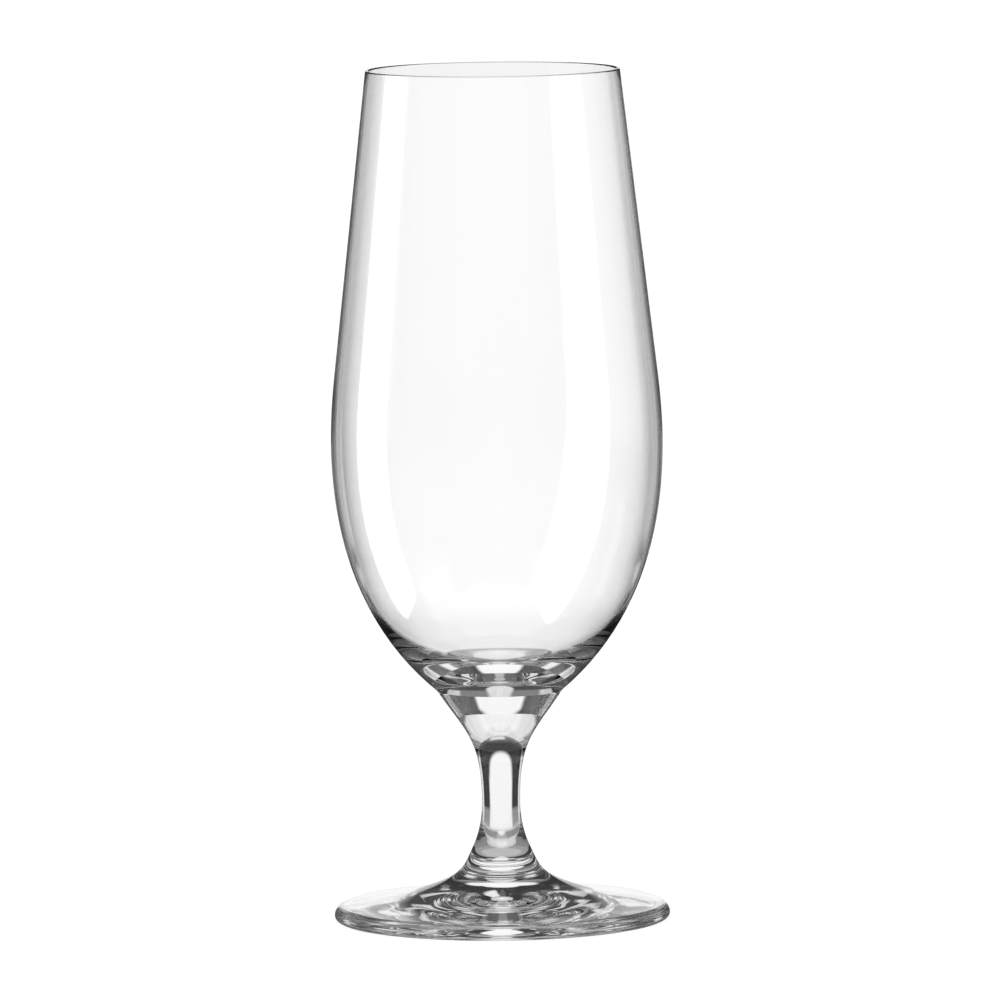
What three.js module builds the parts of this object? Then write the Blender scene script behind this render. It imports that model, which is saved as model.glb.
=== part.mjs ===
import * as THREE from 'three';

// Stemmed pilsner glass in millimetres. The axis is +Z and the foot rests on the plane Z = 0.
// It is three gathers of clear glass, fused end to end: a foot, a stem and a bowl.

// Foot
const footRadius = 36.5;
const footWeldHeight = 15.8;
const weldRadius = 6.2;
const weldSlope = 64.8;
const footKneeRadius = 15.5;
const footKneeHeight = 7.2;
const footKneeSlope = 19.6;
const footEdgeSlope = 5.8;
const footEdgeUpperRound = 2.2;
const footEdgeLowerRound = 1.1;
const restingRingWidth = 2.2;
const hollowUnderFoot = 2.9;
const underBendRadius = 21.4;
const underBendHeight = 0.95;
const underBendSlope = 6.6;
const ringSlope = 4.2;

// Stem
const stemLength = 34.2;
const waistRadius = 4.15;
const waistRise = 9.5;
const creaseRadius = 13.65;
const stemHeadSlope = 56.4;

// Bowl, outside
const bowlHeight = 135;
const creaseSlope = 39.9;
const bellyRadius = 36;
const bellyRise = 54.2;
const coneRadius = 35.1;
const coneRise = 68.7;
const rimRadius = 27.6;

// Bowl, inside
const lipThickness = 0.75;
const coneWall = 1.4;
const shoulderWall = 1.45;
const shoulderRise = 28.8;
const insideKneeRadius = 15;
const insideKneeRise = 6.2;
const insideKneeSlope = 26.4;
const baseThickness = 3.7;

// How finely the round shapes are divided
const turnSteps = 80;
const curveSteps = 10;
const roundSteps = 5;

// Heights that follow from the sizes above
const creaseHeight = footWeldHeight + stemLength;
const rimHeight = creaseHeight + bowlHeight;

// A profile is drawn in a half plane: x is the distance from the axis and y is the height
const at = (radius, height) => new THREE.Vector2(radius, height);

function heading(degreesAboveOutward) {
  const angle = THREE.MathUtils.degToRad(degreesAboveOutward);
  return at(Math.cos(angle), Math.sin(angle));
}

// A smooth curve that leaves one point and reaches another along set headings.
// Each pull is the length of a control arm, as a share of the distance between the points.
function bend(start, startHeading, startPull, end, endHeading, endPull) {
  const distance = start.distanceTo(end);
  const startArm = start.clone().addScaledVector(startHeading, startPull * distance);
  const endArm = end.clone().addScaledVector(endHeading, -endPull * distance);
  return new THREE.CubicBezierCurve(start, startArm, endArm, end);
}

// A round edge about a centre, between two headings in degrees
function roundEdge(centre, radius, startDegrees, endDegrees) {
  const start = THREE.MathUtils.degToRad(startDegrees);
  const end = THREE.MathUtils.degToRad(endDegrees);
  const clockwise = end < start;
  const edge = new THREE.EllipseCurve(centre.x, centre.y, radius, radius, start, end, clockwise);
  return edge.getPoints(roundSteps);
}

// The share of the way up a rising curve at which it reaches a height
function shareAtHeight(curve, height) {
  let below = 0;
  let above = 1;
  while (above - below > 1e-6) {
    const middle = (below + above) / 2;
    if (curve.getPoint(middle).y < height) {
      below = middle;
    } else {
      above = middle;
    }
  }
  return below;
}

function glass(name, tint, profile) {
  const geometry = new THREE.LatheGeometry(profile, turnSteps);
  geometry.rotateX(Math.PI / 2);
  const material = new THREE.MeshPhysicalMaterial({
    color: tint,
    roughness: 0.02,
    metalness: 0,
    transmission: 1,
    ior: 1.52,
    thickness: 2 * waistRadius,
  });
  const mesh = new THREE.Mesh(geometry, material);
  mesh.name = name;
  return mesh;
}

// Foot: a hollowed disc on a narrow resting ring, with a rounded edge and a top that climbs to the weld
function footProfile() {
  const ringOuter = footRadius - footEdgeLowerRound;
  const ringInner = ringOuter - restingRingWidth;
  const underBend = at(underBendRadius, underBendHeight);
  const innerHollow = bend(
    at(0, hollowUnderFoot),
    heading(0),
    0.19,
    underBend,
    heading(-underBendSlope),
    0.44,
  );
  const outerHollow = bend(
    underBend,
    heading(-underBendSlope),
    0.58,
    at(ringInner, 0),
    heading(-ringSlope),
    0.26,
  );
  const lowerCentre = at(ringOuter, footEdgeLowerRound);
  const upperCentre = at(footRadius - footEdgeUpperRound, footEdgeLowerRound);
  const edgeTop = heading(90 - footEdgeSlope)
    .multiplyScalar(footEdgeUpperRound)
    .add(upperCentre);
  const knee = at(footKneeRadius, footKneeHeight);
  const brim = bend(
    edgeTop,
    heading(180 - footEdgeSlope),
    0.49,
    knee,
    heading(180 - footKneeSlope),
    0.29,
  );
  const climb = bend(
    knee,
    heading(180 - footKneeSlope),
    0.61,
    at(weldRadius, footWeldHeight),
    heading(180 - weldSlope),
    0.34,
  );
  return [
    ...innerHollow.getPoints(curveSteps),
    ...outerHollow.getPoints(curveSteps).slice(1),
    ...roundEdge(lowerCentre, footEdgeLowerRound, -90, 0),
    ...roundEdge(upperCentre, footEdgeUpperRound, 0, 90 - footEdgeSlope).slice(1),
    ...brim.getPoints(curveSteps).slice(1),
    ...climb.getPoints(curveSteps).slice(1),
    at(0, footWeldHeight),
  ];
}

// Stem: a solid rod, drawn in at the waist and widening to the head that carries the bowl
function stemProfile() {
  const weld = at(weldRadius, footWeldHeight);
  const waist = at(waistRadius, footWeldHeight + waistRise);
  const crease = at(creaseRadius, creaseHeight);
  const lower = bend(weld, heading(180 - weldSlope), 0.46, waist, heading(90), 0.13);
  const upper = bend(waist, heading(90), 0.53, crease, heading(stemHeadSlope), 0.43);
  return [
    at(0, footWeldHeight),
    ...lower.getPoints(curveSteps),
    ...upper.getPoints(curveSteps).slice(1),
    at(0, creaseHeight),
  ];
}

// Bowl: a thick base that opens to the belly, then a cone that narrows to a rounded lip.
// The profile runs up the outside and back down the inside.
function bowlProfile() {
  const crease = at(creaseRadius, creaseHeight);
  const belly = at(bellyRadius, creaseHeight + bellyRise);
  const coneFoot = at(coneRadius, creaseHeight + coneRise);
  const lipRound = lipThickness / 2;
  const lipCentre = at(rimRadius - lipRound, rimHeight - lipRound);
  const coneClimb = at(rimRadius, lipCentre.y).sub(coneFoot).normalize();
  const outerLean = THREE.MathUtils.radToDeg(Math.atan2(-coneClimb.x, coneClimb.y));
  const lowerOutside = bend(crease, heading(creaseSlope), 0.42, belly, heading(90), 0.27);
  const upperOutside = bend(belly, heading(90), 0.41, coneFoot, coneClimb, 0.24);

  const shoulderShare = shareAtHeight(lowerOutside, creaseHeight + shoulderRise);
  const shoulderClimb = lowerOutside.getTangent(shoulderShare);
  const inward = at(-shoulderClimb.y, shoulderClimb.x);
  const shoulder = lowerOutside.getPoint(shoulderShare).addScaledVector(inward, shoulderWall);
  const shoulderFall = shoulderClimb.clone().negate();
  const innerRim = at(rimRadius - lipThickness, lipCentre.y);
  const innerConeFoot = at(coneRadius - coneWall, coneFoot.y);
  const coneFall = innerConeFoot.clone().sub(innerRim).normalize();
  const innerLean = THREE.MathUtils.radToDeg(Math.atan2(coneFall.x, -coneFall.y));
  const insideBottom = at(0, creaseHeight + baseThickness);
  const upperInside = bend(innerConeFoot, coneFall, 0.32, shoulder, shoulderFall, 0.32);
  const insideKnee = at(insideKneeRadius, creaseHeight + insideKneeRise);
  const kneeFall = heading(180 + insideKneeSlope);
  const lowerInside = bend(shoulder, shoulderFall, 0.14, insideKnee, kneeFall, 0.47);
  const dish = bend(insideKnee, kneeFall, 0.3, insideBottom, heading(180), 0.8);

  return [
    at(0, creaseHeight),
    ...lowerOutside.getPoints(curveSteps + roundSteps),
    ...upperOutside.getPoints(roundSteps).slice(1),
    ...roundEdge(lipCentre, lipRound, outerLean, 180 + innerLean),
    ...upperInside.getPoints(curveSteps),
    ...lowerInside.getPoints(curveSteps).slice(1),
    ...dish.getPoints(curveSteps).slice(1),
  ];
}

const pilsnerGlass = new THREE.Group();
pilsnerGlass.add(
  glass('foot', 0xf1f3f3, footProfile()),
  glass('stem', 0xf2f4f4, stemProfile()),
  glass('bowl', 0xf5f6f6, bowlProfile()),
);

export default pilsnerGlass;
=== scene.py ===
# %% [markdown]
# A stemmed pilsner glass is clear glass and nothing else, so a picture of it is a picture of the room
# around it, bent by its walls. This lesson loads the measured model, which fixes where everything is,
# and sets the camera. It then turns the bowl, the stem and the foot, gives them their glass, and builds
# a photographer's studio around them out of light alone.

# %% Load the measured model
import math

import bpy
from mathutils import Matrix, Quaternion, Vector


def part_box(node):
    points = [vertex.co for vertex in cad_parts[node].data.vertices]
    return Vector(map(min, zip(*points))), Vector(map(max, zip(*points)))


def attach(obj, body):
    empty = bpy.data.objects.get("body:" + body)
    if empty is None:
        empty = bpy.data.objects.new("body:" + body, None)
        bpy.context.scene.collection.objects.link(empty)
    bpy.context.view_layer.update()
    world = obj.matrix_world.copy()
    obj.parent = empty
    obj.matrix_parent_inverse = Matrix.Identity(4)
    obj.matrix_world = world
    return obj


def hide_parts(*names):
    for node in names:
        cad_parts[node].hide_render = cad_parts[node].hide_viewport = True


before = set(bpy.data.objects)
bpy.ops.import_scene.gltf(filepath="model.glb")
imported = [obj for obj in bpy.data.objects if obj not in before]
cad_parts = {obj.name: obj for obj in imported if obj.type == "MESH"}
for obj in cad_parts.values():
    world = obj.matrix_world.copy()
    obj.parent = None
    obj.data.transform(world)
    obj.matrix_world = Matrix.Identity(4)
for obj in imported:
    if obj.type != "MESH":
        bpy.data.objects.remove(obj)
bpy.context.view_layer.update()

MM = 0.001
scene = bpy.context.scene
crease_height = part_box("bowl")[0][2]
rim_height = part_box("bowl")[1][2]
weld_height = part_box("stem")[0][2]
foot_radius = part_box("foot")[1][0]
print("nodes:", sorted(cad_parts))
print("weld, crease and rim in mm:", [round(h / MM, 2) for h in (weld_height, crease_height, rim_height)])

# %% [markdown]
# The photographer stood more than two metres away with a long lens, a little above the glass, so the
# rim and the foot show as thin ellipses. A camera could be turned by hand until it looks right, but its
# place, lens, aim and lean can all be worked out from the outline of the glass in the photograph. It aims
# just under the middle of the glass and leans by less than a degree.

# %% Camera
CAMERA_DISTANCE = 2.2614
CAMERA_HEIGHT = 0.3193
AIM_HEIGHT = 0.0914
AIM_RIGHT = 0.00054
FOCAL_LENGTH = 377.26
LEAN_DEGREES = -0.68

camera_data = bpy.data.cameras.new("camera")
camera_data.lens = FOCAL_LENGTH
camera_data.sensor_width = 36
camera_data.clip_start = 0.1
camera_data.clip_end = 100
camera = bpy.data.objects.new("camera", camera_data)
scene.collection.objects.link(camera)
camera.location = (0, -CAMERA_DISTANCE, CAMERA_HEIGHT)
aim = Vector((AIM_RIGHT, 0, AIM_HEIGHT)) - camera.location
lean = Quaternion((0, 0, 1), math.radians(LEAN_DEGREES))
camera.rotation_mode = "QUATERNION"
camera.rotation_quaternion = aim.to_track_quat("-Z", "Y") @ lean
scene.camera = camera
print("camera looks down by", round(-math.degrees(math.asin(aim.normalized().z)), 2), "degrees")

# %% [markdown]
# Each piece of the glass is a solid of revolution. It could start as a cylinder that is scaled ring by
# ring, but then every curve would be a row of facets. A glassmaker draws the section of a mould instead,
# so the half outline is drawn here with a Bezier curve and spun once round the axis. An outline is a list
# of stretches, and a stretch is its start, two arms that pull on it, and its end.

# %% Outline helpers
def at(radius, height):
    return Vector((radius, height))


def heading(degrees):
    angle = math.radians(degrees)
    return Vector((math.cos(angle), math.sin(angle)))


def bend(start, start_heading, start_pull, end, end_heading, end_pull):
    """A curved stretch of outline. The pulls are shares of the distance between its ends."""
    distance = (end - start).length
    return (start, start + start_heading * start_pull * distance, end - end_heading * end_pull * distance, end)


def line(start, end):
    step = (end - start) / 3
    return (start, start + step, end - step, end)


def round_edge(centre, radius, start_degrees, end_degrees):
    """An arc of less than half a turn, as one stretch."""
    turn = math.radians(end_degrees - start_degrees)
    arm = 4 / 3 * math.tan(turn / 4) * radius
    start = centre + heading(start_degrees) * radius
    end = centre + heading(end_degrees) * radius
    return (start, start + heading(start_degrees + 90) * arm, end - heading(end_degrees + 90) * arm, end)


def point_on(stretch, share):
    rest = 1 - share
    return (
        stretch[0] * rest**3
        + stretch[1] * 3 * rest**2 * share
        + stretch[2] * 3 * rest * share**2
        + stretch[3] * share**3
    )


def share_at_height(stretch, height):
    """The share of the way along a rising stretch at which it reaches a height."""
    below, above = 0.0, 1.0
    while above - below > 1e-6:
        share = (below + above) / 2
        if point_on(stretch, share).y < height:
            below = share
        else:
            above = share
    return share


quarter = round_edge(at(0, 0), 1, 0, 90)
print("a quarter arc of radius 1 passes through radius", round(point_on(quarter, 0.5).length, 4))

# %% Turning an outline
TURN_STEPS = 256
STRETCH_STEPS = 24
SMOOTH_BELOW_DEGREES = 30


def turn_outline(name, stretches):
    """Draws the stretches as one Bezier curve in the X-Z plane and spins it into a closed solid."""
    bpy.ops.object.select_all(action="DESELECT")
    bpy.ops.curve.primitive_bezier_curve_add()
    piece = bpy.context.object
    piece.name = name
    piece.data.dimensions = "3D"
    piece.data.resolution_u = STRETCH_STEPS
    points = piece.data.splines[0].bezier_points
    points.add(len(stretches) + 1 - len(points))
    for point in points:
        point.handle_left_type = "FREE"
        point.handle_right_type = "FREE"
    for index, (start, start_arm, end_arm, end) in enumerate(stretches):
        points[index].co = (start.x, 0, start.y)
        points[index].handle_right = (start_arm.x, 0, start_arm.y)
        points[index + 1].handle_left = (end_arm.x, 0, end_arm.y)
        points[index + 1].co = (end.x, 0, end.y)
    bpy.ops.object.convert(target="MESH")
    bpy.ops.object.mode_set(mode="EDIT")
    bpy.ops.mesh.select_all(action="SELECT")
    bpy.ops.mesh.spin(steps=TURN_STEPS, angle=2 * math.pi, center=(0, 0, 0), axis=(0, 0, 1))
    bpy.ops.mesh.select_all(action="SELECT")
    bpy.ops.mesh.remove_doubles(threshold=1e-6)
    bpy.ops.mesh.normals_make_consistent(inside=False)
    bpy.ops.object.mode_set(mode="OBJECT")
    bpy.ops.object.transform_apply(location=True, rotation=True, scale=True)
    bpy.ops.object.shade_smooth_by_angle(angle=math.radians(SMOOTH_BELOW_DEGREES))
    print(name, "has", len(piece.data.polygons), "faces")
    return piece


# %% [markdown]
# The bowl rises from a sharp crease to the belly and narrows as a straight cone to the rim. Outside and
# inside are two different curves, because the wall of a blown glass isn't even: it is 1.4 mm at the
# belly, under 1 mm near the lip, and thick where the bowl closes. A Solidify modifier would give one
# even wall, so the inside is drawn as a curve of its own. Its shape decides how the base bends the light.

# %% Outside of the bowl
CREASE_RADIUS = 13.65 * MM
CREASE_SLOPE = 39.9
BELLY_RADIUS = 36 * MM
BELLY_RISE = 54.2 * MM
CONE_RADIUS = 35.1 * MM
CONE_RISE = 68.7 * MM
RIM_RADIUS = 27.6 * MM
LIP_THICKNESS = 0.75 * MM

lip_round = LIP_THICKNESS / 2
lip_centre = at(RIM_RADIUS - lip_round, rim_height - lip_round)
crease = at(CREASE_RADIUS, crease_height)
belly = at(BELLY_RADIUS, crease_height + BELLY_RISE)
cone_foot = at(CONE_RADIUS, crease_height + CONE_RISE)
cone_climb = (at(RIM_RADIUS, lip_centre.y) - cone_foot).normalized()
outer_lean = math.degrees(math.atan2(-cone_climb.x, cone_climb.y))
lower_outside = bend(crease, heading(CREASE_SLOPE), 0.42, belly, heading(90), 0.27)
upper_outside = bend(belly, heading(90), 0.41, cone_foot, cone_climb, 0.24)
print("the cone leans in by", round(outer_lean, 2), "degrees")

# %% Inside of the bowl
CONE_WALL = 1.4 * MM
SHOULDER_WALL = 1.45 * MM
SHOULDER_RISE = 28.8 * MM
INSIDE_KNEE_RADIUS = 15 * MM
INSIDE_KNEE_RISE = 6.2 * MM
INSIDE_KNEE_SLOPE = 26.4
BASE_THICKNESS = 3.7 * MM

inner_rim = at(RIM_RADIUS - LIP_THICKNESS, lip_centre.y)
inner_cone_foot = cone_foot - at(CONE_WALL, 0)
cone_fall = (inner_cone_foot - inner_rim).normalized()
inner_lean = math.degrees(math.atan2(cone_fall.x, -cone_fall.y))
shoulder_share = share_at_height(lower_outside, crease_height + SHOULDER_RISE)
just_below = point_on(lower_outside, shoulder_share - 1e-4)
just_above = point_on(lower_outside, shoulder_share + 1e-4)
shoulder_climb = (just_above - just_below).normalized()
inward = at(-shoulder_climb.y, shoulder_climb.x)
shoulder = point_on(lower_outside, shoulder_share) + inward * SHOULDER_WALL
inside_knee = at(INSIDE_KNEE_RADIUS, crease_height + INSIDE_KNEE_RISE)
knee_fall = heading(180 + INSIDE_KNEE_SLOPE)
inside_bottom = at(0, crease_height + BASE_THICKNESS)
print("the shoulder of the inside is at radius", round(shoulder.x / MM, 2), "mm")

# %% Turn the bowl
bowl = turn_outline(
    "bowl_glass_piece",
    [
        line(at(0, crease_height), crease),
        lower_outside,
        upper_outside,
        line(cone_foot, lip_centre + heading(outer_lean) * lip_round),
        round_edge(lip_centre, lip_round, outer_lean, 90),
        round_edge(lip_centre, lip_round, 90, 180 + inner_lean),
        line(lip_centre + heading(180 + inner_lean) * lip_round, inner_cone_foot),
        bend(inner_cone_foot, cone_fall, 0.32, shoulder, -shoulder_climb, 0.32),
        bend(shoulder, -shoulder_climb, 0.14, inside_knee, knee_fall, 0.47),
        bend(inside_knee, knee_fall, 0.3, inside_bottom, heading(180), 0.8),
    ],
)

# %% [markdown]
# The stem is a solid rod, drawn in at the waist, that widens upwards to the crease. It acts as a thick
# lens, so its two curves have to meet upright at the waist: a kink there would show as a step in the
# bright stripe that the lens makes. Two stretches that share one upright heading give that.

# %% Turn the stem
WELD_RADIUS = 6.2 * MM
WELD_SLOPE = 64.8
WAIST_RADIUS = 4.15 * MM
WAIST_RISE = 9.5 * MM
STEM_HEAD_SLOPE = 56.4

weld = at(WELD_RADIUS, weld_height)
waist = at(WAIST_RADIUS, weld_height + WAIST_RISE)
neck_climb = heading(180 - WELD_SLOPE)
stem = turn_outline(
    "stem_glass_piece",
    [
        line(at(0, weld_height), weld),
        bend(weld, neck_climb, 0.46, waist, heading(90), 0.13),
        bend(waist, heading(90), 0.53, crease, heading(STEM_HEAD_SLOPE), 0.43),
        line(crease, at(0, crease_height)),
    ],
)
print("the waist is", round(2 * waist.x / MM, 1), "mm across")

# %% [markdown]
# The foot is a disc with a rounded edge. It is hollow underneath, so that only a narrow ring near the
# edge rests on the table and the glass doesn't rock. Its top climbs in one sweep from the edge to the
# neck. The dark and bright arcs in a glass foot come from light that runs between its top and its
# hollow, so both are drawn as curves, and the hollow isn't left flat.

# %% Turn the foot
EDGE_LOWER_ROUND = 1.1 * MM
EDGE_UPPER_ROUND = 2.2 * MM
EDGE_SLOPE = 5.8
RESTING_RING_WIDTH = 2.2 * MM
RING_SLOPE = 4.2
HOLLOW_UNDER_FOOT = 2.9 * MM
UNDER_BEND_RADIUS = 21.4 * MM
UNDER_BEND_HEIGHT = 0.95 * MM
UNDER_BEND_SLOPE = 6.6
KNEE_RADIUS = 15.5 * MM
KNEE_HEIGHT = 7.2 * MM
KNEE_SLOPE = 19.6

ring_outer = foot_radius - EDGE_LOWER_ROUND
ring_inner = ring_outer - RESTING_RING_WIDTH
under_bend = at(UNDER_BEND_RADIUS, UNDER_BEND_HEIGHT)
under_fall = heading(-UNDER_BEND_SLOPE)
lower_centre = at(ring_outer, EDGE_LOWER_ROUND)
upper_centre = at(foot_radius - EDGE_UPPER_ROUND, EDGE_LOWER_ROUND)
edge_top = upper_centre + heading(90 - EDGE_SLOPE) * EDGE_UPPER_ROUND
knee = at(KNEE_RADIUS, KNEE_HEIGHT)
knee_climb = heading(180 - KNEE_SLOPE)
foot = turn_outline(
    "foot_glass_piece",
    [
        bend(at(0, HOLLOW_UNDER_FOOT), heading(0), 0.19, under_bend, under_fall, 0.44),
        bend(under_bend, under_fall, 0.58, at(ring_inner, 0), heading(-RING_SLOPE), 0.26),
        line(at(ring_inner, 0), at(ring_outer, 0)),
        round_edge(lower_centre, EDGE_LOWER_ROUND, -90, 0),
        round_edge(upper_centre, EDGE_UPPER_ROUND, 0, 90 - EDGE_SLOPE),
        bend(edge_top, heading(180 - EDGE_SLOPE), 0.49, knee, knee_climb, 0.29),
        bend(knee, knee_climb, 0.61, weld, neck_climb, 0.34),
        line(weld, at(0, weld_height)),
    ],
)
print("the glass rests on a ring from", round(ring_inner / MM, 1), "to", round(ring_outer / MM, 1), "mm")

# %% [markdown]
# Materials, the sky, the table and the softboxes are all node trees. The same few nodes come back in
# each of them, so small helpers add a node, do a sum, fade from 0 to 1, and blend two brightnesses.

# %% Node helpers
def add_node(tree, kind, **settings):
    node = tree.nodes.new(kind)
    for name, value in settings.items():
        setattr(node, name, value)
    return node


def feed(tree, socket, value):
    """Sets a socket to a number, or links it to another node's output."""
    if isinstance(value, (int, float)):
        socket.default_value = value
    else:
        tree.links.new(value, socket)


def calculate(tree, operation, *values):
    node = add_node(tree, "ShaderNodeMath", operation=operation)
    for socket, value in zip(node.inputs, values):
        feed(tree, socket, value)
    return node.outputs[0]


def length_of(tree, first, second):
    """The length of a slanted line from its two legs."""
    squares = [calculate(tree, "MULTIPLY", leg, leg) for leg in (first, second)]
    return calculate(tree, "SQRT", calculate(tree, "ADD", *squares))


def fade(tree, value, start, end):
    """Goes smoothly from 0 at start to 1 at end."""
    node = add_node(tree, "ShaderNodeMapRange", interpolation_type="SMOOTHSTEP")
    tree.links.new(value, node.inputs["Value"])
    node.inputs["From Min"].default_value = start
    node.inputs["From Max"].default_value = end
    return node.outputs["Result"]


def blend_numbers(tree, share, first, second):
    node = add_node(tree, "ShaderNodeMix", data_type="FLOAT")
    for socket, value in zip((node.inputs[0], node.inputs[2], node.inputs[3]), (share, first, second)):
        feed(tree, socket, value)
    return node.outputs[0]


print("node helpers are ready")

# %% [markdown]
# The glass is clear and colourless, and the flame leaves its skin without a scratch. A Principled shader
# with full transmission, no roughness and the index of soda glass gives that. A mould-made, fire-polished
# skin isn't perfectly even, though: low swells remain, hardly any in the bowl and more in the foot, and
# they make the arcs in the real foot uneven. They are far too shallow for the mesh, so a soft noise bends
# the normals instead, with its width and depth given in metres.

# %% Glass
INDEX_OF_GLASS = 1.52


def clear_glass(name, swell_width, swell_depth):
    material = bpy.data.materials.new(name)
    material.use_nodes = True
    tree = material.node_tree
    shader = tree.nodes["Principled BSDF"]
    shader.inputs["Transmission Weight"].default_value = 1
    shader.inputs["Roughness"].default_value = 0
    shader.inputs["IOR"].default_value = INDEX_OF_GLASS
    shader.inputs["Base Color"].default_value = (1, 1, 1, 1)
    place = add_node(tree, "ShaderNodeTexCoord")
    swell = add_node(tree, "ShaderNodeTexNoise", noise_dimensions="3D")
    swell.inputs["Scale"].default_value = 1 / swell_width
    swell.inputs["Detail"].default_value = 1
    tree.links.new(place.outputs["Object"], swell.inputs["Vector"])
    bump = add_node(tree, "ShaderNodeBump")
    bump.inputs["Distance"].default_value = swell_depth
    tree.links.new(swell.outputs["Fac"], bump.inputs["Height"])
    tree.links.new(bump.outputs["Normal"], shader.inputs["Normal"])
    print(name, "has swells", round(swell_width / MM), "mm wide")
    return material


bowl_glass = clear_glass("bowl_clear_glass", 20 * MM, 0.02 * MM)
stem_glass = clear_glass("stem_clear_glass", 12 * MM, 0.05 * MM)
foot_glass = clear_glass("foot_clear_glass", 16 * MM, 0.24 * MM)

# %% [markdown]
# The three pieces are fused, so light passes from one into the next as if there were no joint. In the
# model the joint is two flat discs in one place, and a ray that left one glass and entered the other
# there would be bent and reflected twice. The discs could be deleted, but then the solids would be open.
# They stay, and a transparent material lets every ray through them unbent.

# %% Fused faces
fused = bpy.data.materials.new("fused_face")
fused.use_nodes = True
fused.node_tree.nodes.clear()
open_face = add_node(fused.node_tree, "ShaderNodeBsdfTransparent")
fused_output = add_node(fused.node_tree, "ShaderNodeOutputMaterial")
fused.node_tree.links.new(open_face.outputs[0], fused_output.inputs[0])


def dress(piece, node, finish, fused_levels):
    """Gives a piece its glass, opens its fused faces, and puts it in the place of its measured node."""
    piece.data.materials.append(finish)
    piece.data.materials.append(fused)
    opened = 0
    for face in piece.data.polygons:
        heights = [piece.data.vertices[corner].co.z for corner in face.vertices]
        if any(all(abs(height - level) < 1e-6 for height in heights) for level in fused_levels):
            face.material_index = 1
            opened += 1
    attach(piece, "root")
    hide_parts(node)
    print(node, "has", opened, "fused faces")


dress(bowl, "bowl", bowl_glass, [crease_height])
dress(stem, "stem", stem_glass, [weld_height, crease_height])
dress(foot, "foot", foot_glass, [weld_height])

# %% [markdown]
# Glass is lit by what it reflects and bends, not by lamps that shine on it. In the studio a white screen
# stands behind the glass, and dark flags beside it draw the dark edges. They could be planes, but all of
# it is far away compared with the size of the glass, so it is painted on the sky by direction instead.
# The azimuth is counted from straight behind the glass towards the right, the elevation from the horizon
# up, and both are in degrees.

# %% Directions of the sky
world = bpy.data.worlds.new("studio")
scene.world = world
world.use_nodes = True
sky = world.node_tree
sky.nodes.clear()
coordinates = add_node(sky, "ShaderNodeTexCoord")
direction = add_node(sky, "ShaderNodeSeparateXYZ")
sky.links.new(coordinates.outputs["Generated"], direction.inputs[0])
azimuth = calculate(sky, "DEGREES", calculate(sky, "ARCTAN2", direction.outputs["X"], direction.outputs["Y"]))
elevation = calculate(sky, "DEGREES", calculate(sky, "ARCSINE", direction.outputs["Z"]))
print("the sky's directions take", len(sky.nodes), "nodes")

# %% Panels
# These reach past the ends of the sky, so that no soft edge shows there
ALL_ROUND = (-181, 181)
PAST_ZENITH = 95
PAST_NADIR = -95
WHITE = 0.94
ROOM = 0.34
BLACK = 0.03


def hang_panel(under, brightness, azimuths, elevations, edge):
    """Covers the sky between two azimuths and two elevations, with soft edges."""
    middle = (azimuths[0] + azimuths[1]) / 2
    half_width = (azimuths[1] - azimuths[0]) / 2
    aside = calculate(sky, "WRAP", calculate(sky, "SUBTRACT", azimuth, middle), 180, -180)
    across = fade(sky, calculate(sky, "ABSOLUTE", aside), half_width + edge, half_width - edge)
    above = fade(sky, elevation, elevations[0] - edge, elevations[0] + edge)
    below = fade(sky, elevation, elevations[1] + edge, elevations[1] - edge)
    cover = calculate(sky, "MULTIPLY", across, calculate(sky, "MULTIPLY", above, below))
    return blend_numbers(sky, cover, under, brightness)


def hang_strip(under, brightness, middle, half_width, elevations, edge):
    """An upright panel, given by the azimuth of its middle."""
    return hang_panel(under, brightness, (middle - half_width, middle + half_width), elevations, edge)


def hang_round_panel(under, brightness, middle, half_size, edge):
    """Covers an ellipse of the sky, with a soft edge that is a share of its size."""
    across = calculate(sky, "DIVIDE", calculate(sky, "SUBTRACT", azimuth, middle[0]), half_size[0])
    up = calculate(sky, "DIVIDE", calculate(sky, "SUBTRACT", elevation, middle[1]), half_size[1])
    cover = fade(sky, length_of(sky, across, up), 1 + edge, 1 - edge)
    return blend_numbers(sky, cover, under, brightness)


print("a white panel is", WHITE, "of full white, the room", ROOM, "and a black card", BLACK)

# %% [markdown]
# A photographer moves a card by a hand's width until each part of the glass looks right, because the
# card is near and each part sees it elsewhere. A painted sky is endlessly far, so the parts would all
# see one picture. The sky therefore has a picture for each way in which a ray can leave the glass. The
# first is for rays that pass straight through the solid stem and foot, or through one wall above the
# rim. It is a white studio all round, with a screen behind the glass between two black flags, and
# fainter flags at the back, so that the stem keeps dark sides when it is seen from behind.

# %% Seen straight through the stem
SCREEN_HALF_SIZE = (24, 19)

stem_view = hang_panel(WHITE, 0.3, ALL_ROUND, (20, 56), 4)
for side in (-1, 1):
    stem_view = hang_strip(stem_view, 0.4, side * 142, 10, (-10, 56), 3)
stem_view = hang_panel(stem_view, 0.25, (-60, 60), (-38, -26), 3)
stem_view = hang_panel(stem_view, 0.3, (-54, 54), (-26, -10), 3)
stem_view = hang_panel(stem_view, BLACK, (-54, 54), (-12, 56), 2)
stem_view = hang_panel(stem_view, 0.77, (-7, 17), (36, 46), 3)
stem_view = hang_panel(stem_view, 0.93, (-25, 26), (-27, -1), 3)
stem_view = hang_round_panel(stem_view, 0.97, (0, -4), SCREEN_HALF_SIZE, 0.15)
print("the stem sees a white screen", 2 * SCREEN_HALF_SIZE[0], "degrees wide")

# %% [markdown]
# The bowl is hollow, so its two walls hardly bend a ray, and it shows what is right behind it. That has
# to be nearly as white as the backdrop. In the photograph the middle is a little whiter than the sides,
# so a small bright panel lies on a wide one, and another runs down for the thick base.

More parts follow.
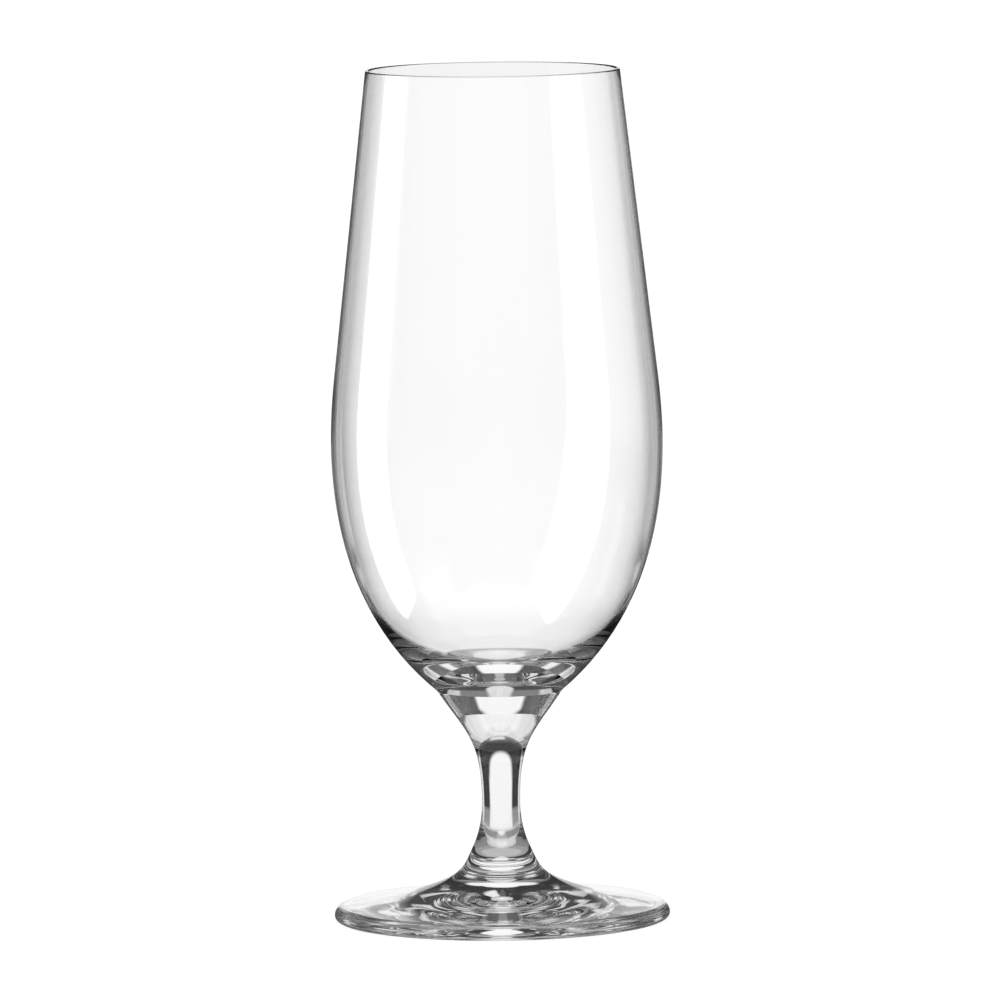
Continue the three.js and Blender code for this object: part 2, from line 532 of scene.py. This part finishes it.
# %% Seen straight through the bowl
bowl_view = hang_panel(WHITE, 0.36, (-55, 55), (-54, -30), 4)
bowl_view = hang_round_panel(bowl_view, 0.8, (-1, -8), (25, 19), 0.15)
bowl_view = hang_round_panel(bowl_view, 1.115, (0, -8), (10, 19), 0.5)
bowl_view = hang_round_panel(bowl_view, 0.98, (0, -26), (9, 17), 0.3)
print("with the bowl's view the sky has", len(sky.nodes), "nodes")

# %% [markdown]
# In the stem's head, the neck and the foot, many rays are turned back at the skin once or twice before
# they leave. They come from all over the room, and draw the bright and dark bands there. Their sky is a
# black room with a few separate cards, because bands have hard edges only where light meets dark.

# %% Turned once or twice inside the stem and the foot
low_turns = hang_panel(0.04, 0.28, (90, 270), (-46, -8), 4)
low_turns = hang_panel(low_turns, 0.35, (150, 210), (-40, 45), 4)
low_turns = hang_panel(low_turns, 0.93, ALL_ROUND, (70, PAST_ZENITH), 3)
low_turns = hang_panel(low_turns, 0.95, (8, 38), (50, 66), 3)
low_turns = hang_panel(low_turns, 0.36, ALL_ROUND, (-58, -43), 2)
low_turns = hang_panel(low_turns, 0.5, ALL_ROUND, (PAST_NADIR, -57), 2)
low_turns = hang_panel(low_turns, 0.2, (-26, 26), (-14, 3), 2)
for side in (-1, 1):
    low_turns = hang_strip(low_turns, 0.7, side * 33, 7, (-13, 1), 2)
    low_turns = hang_strip(low_turns, 0.6, side * 77, 5, (-32, -12), 2)
low_turns = hang_round_panel(low_turns, 0.78, (0, -30), (8.5, 34), 0.15)
low_turns = hang_round_panel(low_turns, 1.0, (0, 28), (8, 11), 0.15)
low_turns = hang_round_panel(low_turns, 1.0, (0, 12), (15, 15), 0.12)
print("with the cards for turned rays the sky has", len(sky.nodes), "nodes")

# %% [markdown]
# Rays that are turned three times or more run outwards through the foot like light in a fibre. Each turn
# spreads them, so upright strips of light in a black room come out as the narrow arcs of the foot.

# %% Turned often inside the foot
STRIP_MIDDLES = (-63, -40, -18, 18, 40, 63)

many_turns = hang_panel(0.08, 0.75, (150, 210), (-5, 32), 3)
many_turns = hang_panel(many_turns, 0.5, ALL_ROUND, (PAST_NADIR, -44), 3)
for middle in STRIP_MIDDLES:
    many_turns = hang_strip(many_turns, 0.9, middle, 4, (-30, 36), 2)
many_turns = hang_round_panel(many_turns, 0.95, (0, -30), (8, 34), 0.15)
print("the foot's arcs come from", len(STRIP_MIDDLES), "strips of light")

# %% [markdown]
# A few rays are turned inside the wall of the bowl. They add the soft grey at its sides and the curls in
# its base, and take their light from high panels all round the room.

# %% Turned inside the bowl's wall
bowl_turns = hang_panel(0.15, BLACK, (-90, 88), (12, 62), 3)
bowl_turns = hang_panel(bowl_turns, 0.85, (75, 285), (44, 68), 3)
bowl_turns = hang_panel(bowl_turns, 0.7, (-147, -113), (32, 46), 3)
bowl_turns = hang_panel(bowl_turns, 0.7, (95, 132), (30, 46), 3)
bowl_turns = hang_panel(bowl_turns, 1.05, (25, 335), (66, 80), 3)
bowl_turns = hang_panel(bowl_turns, 1.0, ALL_ROUND, (78, PAST_ZENITH), 3)
bowl_turns = hang_panel(bowl_turns, 0.65, (-125, -40), (-24, -4), 3)
bowl_turns = hang_panel(bowl_turns, 0.7, (52, 95), (-24, -4), 3)
bowl_turns = hang_round_panel(bowl_turns, 1.2, (5, 8), (12, 15), 0.2)
bowl_turns = hang_panel(bowl_turns, 0.55, (-20, 20), (-76, -54), 4)
print("with the high panels the sky has", len(sky.nodes), "nodes")

# %% [markdown]
# The skin reflects only a few percent of the light, and mostly at the outline, where it shows what is
# behind the glass and to the sides. A dim room with black cards there keeps the outline dark, and that is
# what sets clear glass off from a white backdrop.

# %% Reflected by the skin
skin = hang_panel(ROOM, 0.12, (50, 115), (-16, 40), 6)
skin = hang_panel(skin, 0.22, (115, 180), (-16, 60), 6)
skin = hang_panel(skin, 0.17, (-115, -50), (-16, 40), 6)
skin = hang_panel(skin, 0.28, (-180, -115), (-16, 60), 6)
skin = hang_panel(skin, 0.6, (-135, -60), (40, 60), 4)
skin = hang_panel(skin, 0.35, (-60, 60), (56, 78), 3)
skin = hang_panel(skin, 0.9, (60, 300), (66, 78), 3)
skin = hang_panel(skin, 0.82, ALL_ROUND, (78, PAST_ZENITH), 3)
skin = hang_panel(skin, 0.46, (-60, 60), (PAST_NADIR, -52), 3)
skin = hang_panel(skin, BLACK, (-75, 75), (-48, 56), 3)
skin = hang_round_panel(skin, 0.95, (0, 4), (9, 16), 0.2)
skin = hang_panel(skin, 0.6, (-110, 110), (-75, -48), 3)
print("with the room around it the sky has", len(sky.nodes), "nodes")

# %% [markdown]
# The Light Path node tells how a ray came here. Each passage through a skin adds one to its transmission
# depth: two for the stem and the foot, four for the bowl. Every turn inside adds one to its ray depth
# only. The two numbers together pick the picture. A ray straight from the camera sees pure white, and
# the light that falls on the table is a plain even one.

# %% Choose the picture by the kind of ray
TABLE_LIGHT = 0.8

rays = add_node(sky, "ShaderNodeLightPath")
turns = calculate(sky, "SUBTRACT", rays.outputs["Ray Depth"], rays.outputs["Transmission Depth"])
turned_inside = calculate(sky, "GREATER_THAN", turns, 1.5)
turned_often = calculate(sky, "GREATER_THAN", turns, 3.5)
through_bowl = calculate(sky, "GREATER_THAN", rays.outputs["Transmission Depth"], 2.5)
straight = blend_numbers(sky, through_bowl, stem_view, bowl_view)
guided = blend_numbers(sky, turned_often, low_turns, many_turns)
guided = blend_numbers(sky, through_bowl, guided, bowl_turns)
seen = blend_numbers(sky, turned_inside, straight, guided)
seen = blend_numbers(sky, rays.outputs["Is Reflection Ray"], seen, skin)
seen = blend_numbers(sky, rays.outputs["Is Diffuse Ray"], seen, TABLE_LIGHT)
seen = blend_numbers(sky, rays.outputs["Is Camera Ray"], seen, 1.0)
background = add_node(sky, "ShaderNodeBackground")
background.inputs["Color"].default_value = (1, 1, 1, 1)
sky.links.new(seen, background.inputs["Strength"])
sky_output = add_node(sky, "ShaderNodeOutputWorld")
sky.links.new(background.outputs[0], sky_output.inputs[0])
print("studio painted with", len(sky.nodes), "nodes")

# %% [markdown]
# A ray in the foot may be turned twenty times, and one that is cut short goes black, so the limits on
# bounces are raised. The Standard view shows each brightness as it was painted.

# %% View and bounces
scene.view_settings.view_transform = "Standard"
scene.cycles.max_bounces = 32
scene.cycles.transmission_bounces = 32
scene.cycles.glossy_bounces = 16
scene.cycles.transparent_max_bounces = 32
print("a ray may bounce", scene.cycles.max_bounces, "times")

# %% [markdown]
# The table is a plain white one. Lit from above it would be greyer than the backdrop, and a horizon would
# show, so it glows at the white of the backdrop, apart from the share that the sky lights. That share
# keeps the shadow of the glass. Rays from the glass pass through the table to the sky below, where the
# panels for the underside of the foot are.

# %% Table
TABLE_SIZE = 8.0
LIT_SHARE = 0.2
GLOW = 0.9

bpy.ops.object.select_all(action="DESELECT")
bpy.ops.mesh.primitive_plane_add(size=TABLE_SIZE, location=(0, 0, 0))
table = bpy.context.object
table.name = "table"
table_material = bpy.data.materials.new("table_white")
table_material.use_nodes = True
tree = table_material.node_tree
tree.nodes.clear()
lit = add_node(tree, "ShaderNodeBsdfDiffuse")
lit.inputs["Color"].default_value = (LIT_SHARE, LIT_SHARE, LIT_SHARE, 1)
glow = add_node(tree, "ShaderNodeEmission")
glow.inputs["Strength"].default_value = GLOW
both = add_node(tree, "ShaderNodeAddShader")
tree.links.new(lit.outputs[0], both.inputs[0])
tree.links.new(glow.outputs[0], both.inputs[1])
clear = add_node(tree, "ShaderNodeBsdfTransparent")
table_rays = add_node(tree, "ShaderNodeLightPath")
from_glass = calculate(
    tree, "MAXIMUM", table_rays.outputs["Is Transmission Ray"], table_rays.outputs["Is Glossy Ray"]
)
choose = add_node(tree, "ShaderNodeMixShader")
tree.links.new(from_glass, choose.inputs[0])
tree.links.new(both.outputs[0], choose.inputs[1])
tree.links.new(clear.outputs[0], choose.inputs[2])
table_output = add_node(tree, "ShaderNodeOutputMaterial")
tree.links.new(choose.outputs[0], table_output.inputs[0])
table.data.materials.append(table_material)
print("table is", TABLE_SIZE, "m wide")

# %% [markdown]
# Two tall softboxes stand close to the bowl and show as its two long highlights. These are lamps and not
# painted panels, because near things keep their place on the curved bowl. A lamp has an edge like a
# knife and square corners, so its strength fades towards its rim and its corners are rounded. Light
# linking keeps the softboxes off the stem and the foot, which a flag hides from them in the studio.

# %% Softbox helper
SOFTBOX_DISTANCE = 2.0
SOFTBOX_STRENGTH = 4.0
CORNER_ROUNDING = 0.3
FADE_START_SHARE = 0.75

lit_by_softboxes = bpy.data.collections.new("lit_by_softboxes")
lit_by_softboxes.objects.link(bowl)
bowl_middle = Vector((0, 0, (crease_height + rim_height) / 2))


def span_of(degrees):
    """The width that covers some degrees at the distance of the softboxes."""
    return 2 * SOFTBOX_DISTANCE * math.tan(math.radians((degrees[1] - degrees[0]) / 2))


def round_the_corners(lamp_data):
    lamp_data.use_nodes = True
    tree = lamp_data.node_tree
    place = add_node(tree, "ShaderNodeNewGeometry")
    spot = add_node(tree, "ShaderNodeSeparateXYZ")
    tree.links.new(place.outputs["Parametric"], spot.inputs[0])
    beyond = []
    for axis, size in (("X", lamp_data.size), ("Y", lamp_data.size_y)):
        from_middle = calculate(tree, "ABSOLUTE", calculate(tree, "SUBTRACT", spot.outputs[axis], 0.5))
        straight_part = size / 2 - CORNER_ROUNDING
        past_it = calculate(tree, "SUBTRACT", calculate(tree, "MULTIPLY", from_middle, size), straight_part)
        beyond.append(calculate(tree, "MAXIMUM", past_it, 0))
    cover = fade(tree, length_of(tree, *beyond), CORNER_ROUNDING, CORNER_ROUNDING * FADE_START_SHARE)
    tree.links.new(cover, tree.nodes["Emission"].inputs["Strength"])


def hang_softbox(name, azimuths, elevations, roll):
    middle = math.radians(sum(azimuths) / 2)
    lift = math.radians(sum(elevations) / 2)
    away = Vector((math.sin(middle) * math.cos(lift), math.cos(middle) * math.cos(lift), math.sin(lift)))
    lamp_data = bpy.data.lights.new(name, "AREA")
    lamp_data.shape = "RECTANGLE"
    lamp_data.size = span_of(azimuths)
    lamp_data.size_y = span_of(elevations)
    lamp_data.energy = SOFTBOX_STRENGTH * math.pi * lamp_data.size * lamp_data.size_y
    round_the_corners(lamp_data)
    lamp = bpy.data.objects.new(name, lamp_data)
    scene.collection.objects.link(lamp)
    lamp.location = bowl_middle + away * SOFTBOX_DISTANCE
    lamp.rotation_mode = "QUATERNION"
    lamp.rotation_quaternion = away.to_track_quat("Z", "Y") @ Quaternion((0, 0, 1), math.radians(roll))
    lamp.visible_camera = False
    lamp.visible_diffuse = False
    lamp.visible_transmission = False
    lamp.light_linking.receiver_collection = lit_by_softboxes
    print(name, "is", round(lamp_data.size, 2), "by", round(lamp_data.size_y, 2), "m")


# %% Hang the softboxes
hang_softbox("left_softbox", (-99, -66), (-42, 24), 0)
hang_softbox("right_softbox", (98, 136), (-56, 26), -17)
